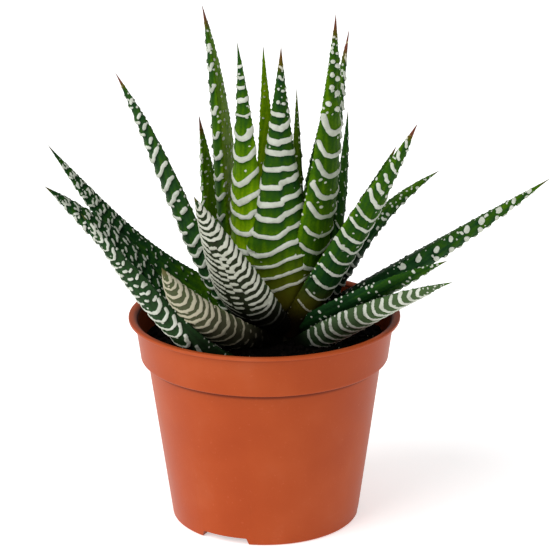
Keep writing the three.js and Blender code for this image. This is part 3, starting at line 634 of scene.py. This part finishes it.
class Leaf:
    """A leaf's skin as a grid of rings, with its markings as strokes laid on that skin."""

    def __init__(self, number, row):
        (bearing, reach, height, foot, rise, bend, aim, sway,
         self.width, self.thickness, turn, self.taper) = row
        self.name = f"leaf_{number:02d}"
        self.look = {**PLAIN, **LOOKS.get(number, {})}
        self.draw = np.random.default_rng(LEAF_SEED + number)
        angle = math.radians(bearing)
        outward = np.array([math.cos(angle), math.sin(angle), 0])
        self.sideways = np.array([-outward[1], outward[0], 0])
        up = np.array([0, 0, 1.0])
        axis = np.array([PLANT_X, 0, 0])

        def slope(degrees):
            return outward * math.cos(math.radians(degrees)) + up * math.sin(math.radians(degrees))

        start = axis + outward * LEAF_START + up * foot
        tip = axis + outward * reach + up * height
        handle = TIP_HANDLE * np.linalg.norm(tip - start)
        knots = [
            start,
            start + slope(rise) * bend + self.sideways * sway,
            tip - slope(aim) * handle + self.sideways * sway,
            tip,
        ]
        t = np.linspace(0, 1, LINE_POINTS)[:, None]
        weights = [(1 - t) ** 3, 3 * t * (1 - t) ** 2, 3 * t * t * (1 - t), t ** 3]
        line = sum(w * k for w, k in zip(weights, knots))
        walked = np.concatenate([[0], np.cumsum(np.linalg.norm(np.diff(line, axis=0), axis=1))])
        self.length = walked[-1]
        self.turn = math.radians(turn)
        rings = int(self.length / RING_SPACING)
        order = np.linspace(0, 1, rings)
        self.share = order[:-1] * (1 - SHORT_OF_TIP)
        place = self.share * self.length
        self.line = np.stack([np.interp(place, walked, line[:, k]) for k in range(3)], 1)
        tangent = np.gradient(line, walked, axis=0)
        self.tangent = np.stack([np.interp(place, walked, tangent[:, k]) for k in range(3)], 1)
        self.tangent /= np.linalg.norm(self.tangent, axis=1)[:, None]
        self.tip = tip

    def fullness(self):
        swell = np.sin(math.pi / 2 * np.clip(self.share / WIDEST_AT, 0, 1))
        out = np.clip((self.share - WIDEST_AT) / (1 - WIDEST_AT), 0, 1)
        wide = np.where(self.share < WIDEST_AT, 1 - FOOT_NARROWING * (1 - swell), 1 - out ** self.taper)
        return wide, 1 - out ** (DEPTH_TAPER * self.taper)

    def build_grid(self):
        """Points, outward directions and the charts of both faces, each as rings by sides."""
        side = self.sideways - self.tangent * (self.tangent @ self.sideways)[:, None]
        side /= np.linalg.norm(side, axis=1)[:, None]
        inward = np.cross(self.tangent, side)
        turned = side * math.cos(self.turn) + inward * math.sin(self.turn)
        inward = inward * math.cos(self.turn) - side * math.sin(self.turn)
        phi = np.concatenate([
            np.linspace(0, math.pi, OUTER_SIDES, endpoint=False),
            np.linspace(math.pi, 2 * math.pi, INNER_SIDES, endpoint=False),
        ])
        across, bulge = -np.cos(phi), -np.sin(phi)
        wide, thick = self.fullness()
        wide = wide * (1 - self.look["slim"] * smoothstep(0.3, 0.7, self.share))
        half_width = np.maximum(self.width / 2 * wide, LEAST_HALF)[:, None]
        outer = phi < math.pi
        depth_share = np.where(outer, OUTER_SHARE, 1 - OUTER_SHARE)[None, :]
        half_depth = np.maximum(self.thickness * thick[:, None] * depth_share, LEAST_HALF)
        x, y = half_width * across, half_depth * bulge
        nx, ny = across / half_width, bulge / half_depth
        size = np.hypot(nx, ny)
        self.points = self.line[:, None] + turned[:, None] * x[..., None] + inward[:, None] * y[..., None]
        self.normals = turned[:, None] * (nx / size)[..., None] + inward[:, None] * (ny / size)[..., None]
        steps = np.hypot(np.diff(x, axis=1, append=x[:, :1]), np.diff(y, axis=1, append=y[:, :1]))
        walked = np.concatenate([np.zeros((len(x), 1)), np.cumsum(steps, axis=1)], axis=1)
        outer_arc = walked[:, OUTER_SIDES]
        inner_arc = walked[:, -1] - outer_arc
        walked = walked[:, :-1]
        self.outer_half = outer_arc / 2
        self.inner_half = inner_arc / 2
        from_middle = walked - self.outer_half[:, None]
        far_left = walked - walked[:, -1:] - steps[:, -1:] - self.outer_half[:, None]
        past_middle = walked > (outer_arc + self.inner_half)[:, None]
        self.outer_x = np.where(past_middle, far_left, from_middle)
        self.inner_x = (outer_arc + self.inner_half)[:, None] - walked
        wraps = self.inner_x > (self.outer_half + self.inner_half)[:, None]
        whole = (outer_arc + inner_arc)[:, None]
        self.inner_x = np.where(wraps, self.inner_x - whole, self.inner_x)
        self.y = np.repeat((self.share * self.length)[:, None], len(phi), 1)
        self.half_width = half_width
        self.band = np.full(self.y.shape, -2.0)
        self.relief = np.zeros(self.y.shape)

    def stroke(self, chart, xs, ys, radii, height, white=True):
        """Lays a rounded stroke along points given in millimetres of a face's chart."""
        radii = np.broadcast_to(radii, len(xs))
        reach = radii.max() + AROUND_STROKE
        rows = np.nonzero((self.y[:, 0] > ys.min() - reach) & (self.y[:, 0] < ys.max() + reach))[0]
        if not len(rows):
            return
        window = slice(rows[0], rows[-1] + 1)
        px, py = chart[window], self.y[window]
        inside = np.full(px.shape, -9.0)
        crest = np.zeros(px.shape)
        for k in range(max(len(xs) - 1, 1)):
            after = min(k + 1, len(xs) - 1)
            dx, dy = xs[after] - xs[k], ys[after] - ys[k]
            t = np.clip(((px - xs[k]) * dx + (py - ys[k]) * dy) / (dx * dx + dy * dy + 1e-9), 0, 1)
            near = np.hypot(px - xs[k] - t * dx, py - ys[k] - t * dy)
            radius = radii[k] + t * (radii[after] - radii[k])
            inside = np.maximum(inside, radius - near)
            crest = np.maximum(crest, 1 - (near / (radius * RIDGE_SPREAD)) ** 3)
        if white:
            self.band[window] = np.maximum(self.band[window], inside)
        self.relief[window] = np.maximum(self.relief[window], height * np.sqrt(crest))

    def half_at(self, halves, y):
        return np.interp(y, self.share * self.length, halves)

    def stray(self, count):
        return np.clip(self.draw.normal(0, WANDER, count), -2 * WANDER, 2 * WANDER)

    def lay_bands(self, zones, chart, halves):
        """The white bands of one face."""
        draw = self.draw
        begin, *stretches = zones
        for end, count, pattern, half in stretches:
            pitch = (end - begin) * self.length / count
            for band in range(count):
                share = begin + (end - begin) * (band + 0.5) / count
                fade = min(1, 4 * (1 - share))
                lift = draw.uniform(-BAND_SLACK, BAND_SLACK)
                lean = draw.uniform(-BAND_SLACK, BAND_SLACK)
                for stroke in PATTERNS[pattern]:
                    line = eased(stroke)
                    u = line[:, 0] + draw.uniform(-SIDE_SLACK, SIDE_SLACK)
                    y = share * self.length + (line[:, 1] + lift + lean * u) * pitch
                    y += self.stray(len(u))
                    x = u * self.half_at(halves, y)
                    x += self.stray(len(u))
                    width = half * (0.55 + 0.45 * fade) * draw.uniform(0.9, 1.1)
                    radii = width * draw.uniform(1 - UNEVEN, 1 + UNEVEN, len(u))
                    self.stroke(chart, x, y, radii, RIDGE_HEIGHT * min(1, width / FULL_STROKE))
            begin = end

    def lay_steps(self):
        """Each band is the lower edge of a low tier, which dies out above it."""
        marked = self.band > 0
        spacing = self.length / len(self.share)
        self.below = distance_walked(marked, spacing)
        self.above = distance_walked(marked[::-1], spacing)[::-1]
        step = STEP_HEIGHT * np.exp(-self.below / STEP_LENGTH) * smoothstep(0.2, 1.6, self.half_width)
        for _ in range(2):
            step = 0.25 * np.roll(step, 1, 1) + 0.5 * step + 0.25 * np.roll(step, -1, 1)
        self.step = step

    def lay_spots(self):
        draw = self.draw
        outer_density, inner_density, least, most = self.look["spots"]
        faces = (
            (self.outer_x, self.outer_half, outer_density, 0.1, 1.0),
            (self.inner_x, self.inner_half, inner_density, 0.15, 0.96),
        )
        for chart, halves, density, begin, widest in faces:
            area = self.length * (1 - begin) * self.width * FACE_SHARE
            laid = []
            for _ in range(int(density * area / SPOT_ROOM)):
                share = begin + (1 - begin) * draw.uniform(0, 0.95)
                y = share * self.length
                half = self.half_at(halves, y)
                x = draw.uniform(-widest, widest) * half
                size = draw.uniform(least, most) * min(1, 0.45 + half / 5)
                step = size * draw.uniform(0, 0.9)
                tilt = draw.uniform(-0.4, 0.4)
                if any(math.hypot(x - a, y - b) < LEAST_SPOT_GAP + 1.6 * size for a, b in laid):
                    continue
                laid.append((x, y))
                xs = np.array([x - step, x + step])
                ys = np.array([y - tilt * step, y + tilt * step])
                self.stroke(chart, xs, ys, size, SPOT_HEIGHT * min(1, size / FULL_SPOT))

    def lay_teeth(self):
        """Small bumps along both margins, about one in three of them white."""
        draw = self.draw
        for sign in (-1, 1):
            y = 0.1 * self.length
            while y < 0.95 * self.length:
                size = draw.uniform(*TOOTH_RADII)
                x = sign * self.half_at(self.outer_half, y) + draw.uniform(-0.2, 0.2)
                white = draw.uniform() < WHITE_TEETH
                self.stroke(self.outer_x, np.array([x]), np.array([y]), size, TOOTH_HEIGHT, white)
                y += draw.uniform(*TOOTH_SPACING)

    def lay_grain(self):
        """A slightly uneven skin."""
        for length in GRAIN_LENGTHS:
            first, second = self.draw.uniform(0, 2 * math.pi, 2)
            turn = 2 * math.pi / length
            across = np.sin(turn * self.outer_x + 0.6 * self.y + first)
            along = np.sin(turn * self.y - 0.5 * self.outer_x + second)
            self.relief += GRAIN_HEIGHT * (across * along) * smoothstep(0.3, 1.5, self.half_width)

    def tones(self):
        draw = self.draw
        share = self.y / self.length
        looks = [np.interp(share, (0, 0.45, 1), self.look[key]) for key in ("outer", "inner")]
        edge = smoothstep(0, 2.5, np.abs(self.outer_x) - self.outer_half[:, None] + 1.2)
        tone = looks[0] * (1 - edge) + looks[1] * edge
        # Painted shadow: the skin is darker just below each band, like the shadow the band casts, and
        # painted light makes it lighter just above each band.
        tone = tone - 0.24 * np.exp(-self.above / 0.8) + 0.1 * np.exp(-self.below / 1.6)
        across = self.outer_x / self.width
        streak = 0
        for pitch in (19, 33, 57):
            first = draw.uniform(0, 6.3)
            streak = streak + np.sin(pitch * across + first + 2.0 * share * draw.uniform(-1, 1))
        tone = tone + 0.028 * streak
        foot, middle, tip, span = self.look["warm"]
        warm = np.interp(share, (0, 0.3, 0.45, 1), (foot, middle, middle, middle))
        warm = warm + (tip - middle) * smoothstep(1 - span, 1 - 0.35 * span, share)
        # Painted shade at the foot of the leaf, deep in the rosette, with some soil dirt.
        dark, end = self.look["foot_shade_and_soil"]
        foot_shade_and_soil = dark * (1 - smoothstep(0.25 * end, end, share))
        return tone, warm, foot_shade_and_soil

    def cut_back(self, points):
        """What the CAD cut away to clear a neighbour lies back on the cut."""
        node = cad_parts[self.name].data
        corners = [v.co / MM for v in node.vertices]
        tree = BVHTree.FromPolygons(corners, [tuple(p.vertices) for p in node.polygons])
        flat = points.reshape(-1, 3)
        for index, point in enumerate(flat):
            near, _, _, distance = tree.find_nearest(Vector(point))
            if distance > LOOSE_SKIN:
                share = min(1.0, (distance - LOOSE_SKIN) / 0.5)
                flat[index] = point + (np.array(near) - point) * share
        return flat.reshape(points.shape)

    def build(self):
        self.build_grid()
        self.lay_bands(self.look["zones"], self.outer_x, self.outer_half)
        self.lay_bands(self.look["inner_zones"], self.inner_x, self.inner_half)
        self.lay_steps()
        self.lay_spots()
        self.lay_teeth()
        self.lay_grain()
        from_margin = np.abs(self.outer_x) - self.outer_half[:, None]
        height = (self.relief + self.step) * (1 - 0.45 * np.exp(-((from_margin / 1.2) ** 2)))
        height *= 0.4 + 0.6 * smoothstep(0.3, 2.4, self.half_width)
        points = self.points + self.normals * height[..., None]
        points = self.cut_back(points)
        foot = points[0].mean(axis=0)
        points = np.concatenate([points.reshape(-1, 3), [foot, self.tip]])
        piece = new_mesh(f"{self.name}_skin", points, ring_faces(*self.y.shape))
        tone, warm, foot_shade_and_soil = self.tones()
        cream = np.full_like(tone, self.look["cream"])
        layers = {"band": self.band, "tone": tone, "warm": warm, "foot_shade_and_soil": foot_shade_and_soil, "cream": cream}
        for key, values in layers.items():
            ends = [-1, -1] if key == "band" else values[[0, -1], 0]
            add_attribute(piece, key, np.concatenate([values.ravel(), ends]))
        return piece


def make_leaves():
    skin = leaf_material()
    for number, row in enumerate(LEAVES, 1):
        leaf = Leaf(number, row)
        piece = leaf.build()
        piece.data.materials.append(skin)
        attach(piece, "root")
        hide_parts(leaf.name)


# ---------- pot

LATHE_SIDES = 180
DRAIN_HOLE_SIDES = 24
SHARP_ANGLE = math.radians(32)


def rounded(corners):
    """A profile from corners given as (radius, height, rounding)."""
    points = [corners[0][:2]]
    for before, here, after in zip(corners, corners[1:], corners[2:]):
        corner = np.array(here[:2], float)
        back = np.array(before[:2], float) - corner
        on = np.array(after[:2], float) - corner
        reach = min(here[2], 0.45 * np.linalg.norm(back), 0.45 * np.linalg.norm(on))
        first = corner + back / np.linalg.norm(back) * reach
        last = corner + on / np.linalg.norm(on) * reach
        for t in np.linspace(0, 1, 6 if here[2] else 1):
            points.append(tuple((1 - t) ** 2 * first + 2 * t * (1 - t) * corner + t * t * last))
    points.append(corners[-1][:2])
    return points


def lathe(name, profile, sides):
    """A closed solid of revolution about Z. The profile starts and ends on the axis."""
    rings = profile[1:-1]
    angles = np.linspace(0, 2 * math.pi, sides, endpoint=False)
    grid = [[(r * math.cos(a), r * math.sin(a), z) for a in angles] for r, z in rings]
    points = np.array(grid).reshape(-1, 3)
    points = np.concatenate([points, [(0, 0, profile[0][1]), (0, 0, profile[-1][1])]])
    return new_mesh(name, points, ring_faces(len(rings), sides))


def inside_radius(height):
    if height <= COLLAR_FOOT_Z:
        return FOOT_RADIUS + (BODY_TOP_RADIUS - FOOT_RADIUS) * height / COLLAR_FOOT_Z - POT_WALL
    share = max((height - COLLAR_STEP_Z) / (LIP_FOOT_Z - COLLAR_STEP_Z), 0)
    return COLLAR_FOOT_RADIUS + (COLLAR_TOP_RADIUS - COLLAR_FOOT_RADIUS) * share - POT_WALL


def notch_block(bearing, height, margin):
    middle = FOOT_RADIUS * math.tan(math.radians(NOTCH_HALF_ANGLE)) + margin
    inner, outer = FOOT_RADIUS - NOTCH_DEPTH - margin, LIP_RADIUS
    points = []
    for x in (inner, outer):
        for half, z in ((middle + NOTCH_FLARE, -POT_FLOOR), (middle, height)):
            points += [(x, -half, z), (x, half, z)]
    faces = [(2, 3, 1, 0), (5, 7, 6, 4), (1, 5, 4, 0), (6, 7, 3, 2), (4, 6, 2, 0), (3, 7, 5, 1)]
    turn = np.array(Matrix.Rotation(math.radians(bearing), 3, "Z"))
    return new_mesh("notch_block", np.array(points) @ turn.T, faces, smooth=False)


def boolean(piece, other, operation):
    """Joins or cuts with another object, which is used up."""
    modifier = piece.modifiers.new("cut", "BOOLEAN")
    modifier.object = other
    modifier.operation = operation
    modifier.solver = "EXACT"
    with bpy.context.temp_override(object=piece, active_object=piece, selected_objects=[piece]):
        bpy.ops.object.modifier_apply(modifier=modifier.name)
    bpy.data.objects.remove(other)


def make_pot():
    outside = [(0, 0, 0), (FOOT_RADIUS, 0, 0.7), (BODY_TOP_RADIUS, COLLAR_FOOT_Z, 0.35)]
    profile = rounded(outside + [
        (COLLAR_FOOT_RADIUS - CLEARANCE, COLLAR_FOOT_Z, 0.8),
        (COLLAR_FOOT_RADIUS, COLLAR_STEP_Z, 1.2),
        (COLLAR_TOP_RADIUS, LIP_FOOT_Z, 0.5),
        (LIP_RADIUS, LIP_FOOT_Z, 0.5),
        (LIP_RADIUS, POT_HEIGHT, 0.6),
        (LIP_RADIUS - LIP_WIDTH, POT_HEIGHT, 0.5),
        (inside_radius(LIP_FOOT_Z), LIP_FOOT_Z, 0.6),
        (inside_radius(COLLAR_STEP_Z), COLLAR_STEP_Z, 1.0),
        (inside_radius(COLLAR_FOOT_Z), COLLAR_FOOT_Z, 1.0),
        (inside_radius(POT_FLOOR), POT_FLOOR, 1.5),
        (0, POT_FLOOR, 0),
    ])
    pot = lathe("pot_shell", profile, LATHE_SIDES)
    filled = rounded(outside + [(0, COLLAR_FOOT_Z, 0)])
    for bearing in NOTCH_BEARINGS:
        housing = notch_block(bearing, NOTCH_HEIGHT + POT_FLOOR, POT_WALL)
        boolean(housing, lathe("pot_outside", filled, LATHE_SIDES), "INTERSECT")
        boolean(pot, housing, "UNION")
        boolean(pot, notch_block(bearing, NOTCH_HEIGHT, 0), "DIFFERENCE")
        hole = lathe("drain_hole", [
            (0, -NOTCH_HEIGHT), (DRAIN_HOLE_RADIUS, -NOTCH_HEIGHT),
            (DRAIN_HOLE_RADIUS, 2 * NOTCH_HEIGHT), (0, 2 * NOTCH_HEIGHT),
        ], DRAIN_HOLE_SIDES)
        distance = FOOT_RADIUS - NOTCH_DEPTH / 2 - POT_WALL
        angle = math.radians(bearing)
        place = (distance * math.cos(angle) * MM, distance * math.sin(angle) * MM, 0)
        hole.data.transform(Matrix.Translation(place))
        boolean(pot, hole, "DIFFERENCE")
    pot.data.shade_smooth()
    pot.data.set_sharp_from_angle(angle=SHARP_ANGLE)
    # Where the pot gets its painted inner shade: the inner wall and floor, below the lip.
    inside = []
    for vertex in pot.data.vertices:
        x, y, z = vertex.co / MM
        wall = LIP_RADIUS - LIP_WIDTH if z > LIP_FOOT_Z else inside_radius(max(z, 0)) + 0.3
        within = smoothstep(0, 0.8, wall - math.hypot(x, y))
        inside.append(float(within * smoothstep(0, 1, LIP_FOOT_Z + 1 - z)))
    add_attribute(pot, "inside", inside)
    pot.data.materials.clear()
    pot.data.materials.append(pot_material())
    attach(pot, "root")
    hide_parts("pot")


# ---------- soil and stem

SOIL_SEED = 5
SOIL_SIDES = 200
SOIL_RINGS = 64
CRUMBS = 900
CRUMB_RADII = (0.35, 1.15)
CRUMB_MARGIN = 1.2     # how far the middle of a crumb stays from the soil's edge
PALE_EVERY = 9         # one crumb in this many is a pale grain
PALE_RADII = (0.22, 0.5)


def soil_height(x, y):
    share = math.hypot(x, y) / inside_radius(SOIL_LEVEL)
    spot = Vector((x, y, 0.0))
    rough = 0.55 * noise.noise(spot * 0.12) + 0.5 * noise.noise(spot * 0.35)
    rough += 0.35 * noise.noise(spot * 0.9) + 0.22 * noise.noise(spot * 2.1)
    return SOIL_LEVEL + SOIL_MOUND * (1 - share * share) + rough


def make_soil():
    draw = np.random.default_rng(SOIL_SEED)
    bottom = NOTCH_HEIGHT + POT_FLOOR + CLEARANCE
    angles = np.linspace(0, 2 * math.pi, SOIL_SIDES, endpoint=False)
    edge = inside_radius(SOIL_LEVEL) - SOIL_GAP
    levels = [
        (inside_radius(bottom) - SOIL_GAP, bottom),
        (inside_radius(COLLAR_FOOT_Z) - SOIL_GAP, COLLAR_FOOT_Z),
        (inside_radius(COLLAR_STEP_Z) - SOIL_GAP, COLLAR_STEP_Z + CLEARANCE),
    ]
    points = [(r * math.cos(a), r * math.sin(a), z) for r, z in levels for a in angles]
    for ring in range(SOIL_RINGS):
        radius = edge * (1 - ring / SOIL_RINGS)
        for a in angles:
            x, y = radius * math.cos(a), radius * math.sin(a)
            points.append((x, y, soil_height(x, y)))
    points += [(0, 0, bottom), (0, 0, soil_height(0, 0))]
    faces = ring_faces(len(levels) + SOIL_RINGS, SOIL_SIDES)
    pale = [0.0] * len(points)
    for index in range(CRUMBS):
        radius = (edge - CRUMB_MARGIN) * math.sqrt(draw.uniform(0.1, 1))
        angle = draw.uniform(0, 2 * math.pi)
        x, y = radius * math.cos(angle), radius * math.sin(angle)
        is_pale = index % PALE_EVERY == 0
        size = draw.uniform(*(PALE_RADII if is_pale else CRUMB_RADII))
        middle = np.array([x, y, soil_height(x, y) + 0.25 * size])
        grain = bmesh.new()
        bmesh.ops.create_icosphere(grain, subdivisions=2, radius=size)
        stretch = draw.uniform(0.6, 1.25, 3)
        offset = len(points)
        for vertex in grain.verts:
            lump = 1 + 0.45 * noise.noise(vertex.co / size * 1.3 + Vector((index, 0, 0)))
            points.append(tuple(middle + np.array(vertex.co) * stretch * lump))
            pale.append(1.0 if is_pale else 0.0)
        faces += [tuple(offset + v.index for v in face.verts) for face in grain.faces]
        grain.free()
    soil = new_mesh("soil_crumb", points, faces)
    add_attribute(soil, "pale", pale)
    soil.data.materials.append(soil_material())
    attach(soil, "root")
    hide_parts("soil")


def dress_stem():
    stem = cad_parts["stem"]
    stem.data.materials.clear()
    stem.data.materials.append(stem_material())


# ---------- studio (metres)

CAMERA_PLACE = Vector((0, -0.747, 0.3217))
CAMERA_AIM = Vector((0.0042, 0, 0.0824))
CAMERA_ROLL = math.radians(-0.24)
CAMERA_LENS = 154.6
SENSOR_WIDTH = 36
FLOOR_RADIUS = 8
FLOOR_SIDES = 96
FLOOR_Z = -0.0001
FLOOR_GLOW = 0.5
SKY_STRENGTH = 0.47
KEY_PLACE = Vector((-0.9, -0.6, 0.9))
KEY_STRENGTH = 2.0
KEY_SOFTNESS = math.radians(50)


def make_camera():
    forward = (CAMERA_AIM - CAMERA_PLACE).normalized()
    level = forward.cross(Vector((0, 0, 1))).normalized()
    above = level.cross(forward)
    right = level * math.cos(CAMERA_ROLL) + above * math.sin(CAMERA_ROLL)
    up = right.cross(forward)
    camera = bpy.data.objects.new("camera", bpy.data.cameras.new("camera"))
    camera.data.lens = CAMERA_LENS
    camera.data.sensor_width = SENSOR_WIDTH
    turn = Matrix((right, up, -forward)).transposed().to_4x4()
    camera.matrix_world = Matrix.Translation(CAMERA_PLACE) @ turn
    bpy.context.scene.collection.objects.link(camera)
    bpy.context.scene.camera = camera


def make_key():
    """Even light from one side, whose shadows are as soft as its angle is wide."""
    lamp = bpy.data.lights.new("key", "SUN")
    lamp.energy = KEY_STRENGTH
    lamp.angle = KEY_SOFTNESS
    light = bpy.data.objects.new("key", lamp)
    light.rotation_euler = (-KEY_PLACE).to_track_quat("-Z", "Y").to_euler()
    bpy.context.scene.collection.objects.link(light)


def make_studio():
    bpy.ops.mesh.primitive_circle_add(
        vertices=FLOOR_SIDES, radius=FLOOR_RADIUS, fill_type="NGON", location=(0, 0, FLOOR_Z),
    )
    floor = bpy.context.object
    floor.name = "studio_floor"
    floor.data.materials.append(floor_material())
    world = bpy.data.worlds.new("studio")
    world.use_nodes = True
    sky = world.node_tree.nodes["Background"].inputs
    sky["Color"].default_value = (1, 1, 1, 1)
    sky["Strength"].default_value = SKY_STRENGTH
    bpy.context.scene.world = world
    bpy.context.scene.view_settings.view_transform = "Standard"


make_pot()
make_soil()
dress_stem()
make_leaves()
make_studio()
make_key()
make_camera()
